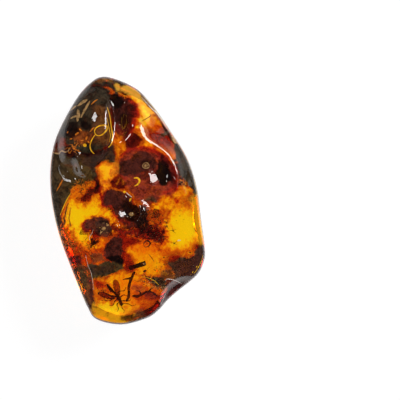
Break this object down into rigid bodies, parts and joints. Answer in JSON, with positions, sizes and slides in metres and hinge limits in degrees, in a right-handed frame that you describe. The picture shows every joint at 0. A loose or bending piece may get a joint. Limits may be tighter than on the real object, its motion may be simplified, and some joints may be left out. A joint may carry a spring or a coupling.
{
  "type": "insect in amber",
  "caption": "Polished pebble of clear amber lying on its flat back, with an insect, a gnat, a twig and forest debris sealed inside.",
  "frame": {"origin": "middle of the footprint, on the surface that the flat back rests on", "axes": "+Z out of the polished front, which lies face up; +Y towards the pebble's narrow top; +X to its right"},
  "size_m": [0.028, 0.0447, 0.0159],
  "materials": {
    "amber": "clear honey-yellow amber, polished",
    "insect": "dark brown chitin",
    "twig": "blackened twig",
    "charred_wood": "charred wood",
    "bark": "dark bark",
    "debris": "dark maroon soil and plant debris",
    "flake": "tan plant flake"
  },
  "bodies": {
    "root": {"amber_front": "amber", "amber_back": "amber", "insect": "insect", "gnat": "insect", "twig_stem": "twig", "twig_branch": "twig", "wood_splinter": "charred_wood", "bark_sliver": "bark", "crumb_top": "debris", "crumb_great": "debris", "crumb_wedge": "debris", "crumb_middle": "debris", "crumb_kidney": "debris", "crumb_low": "debris", "crumb_right": "debris", "crumb_hearth": "debris", "flake_tan": "flake", "flake_straw": "flake"}
  },
  "joints": []
}
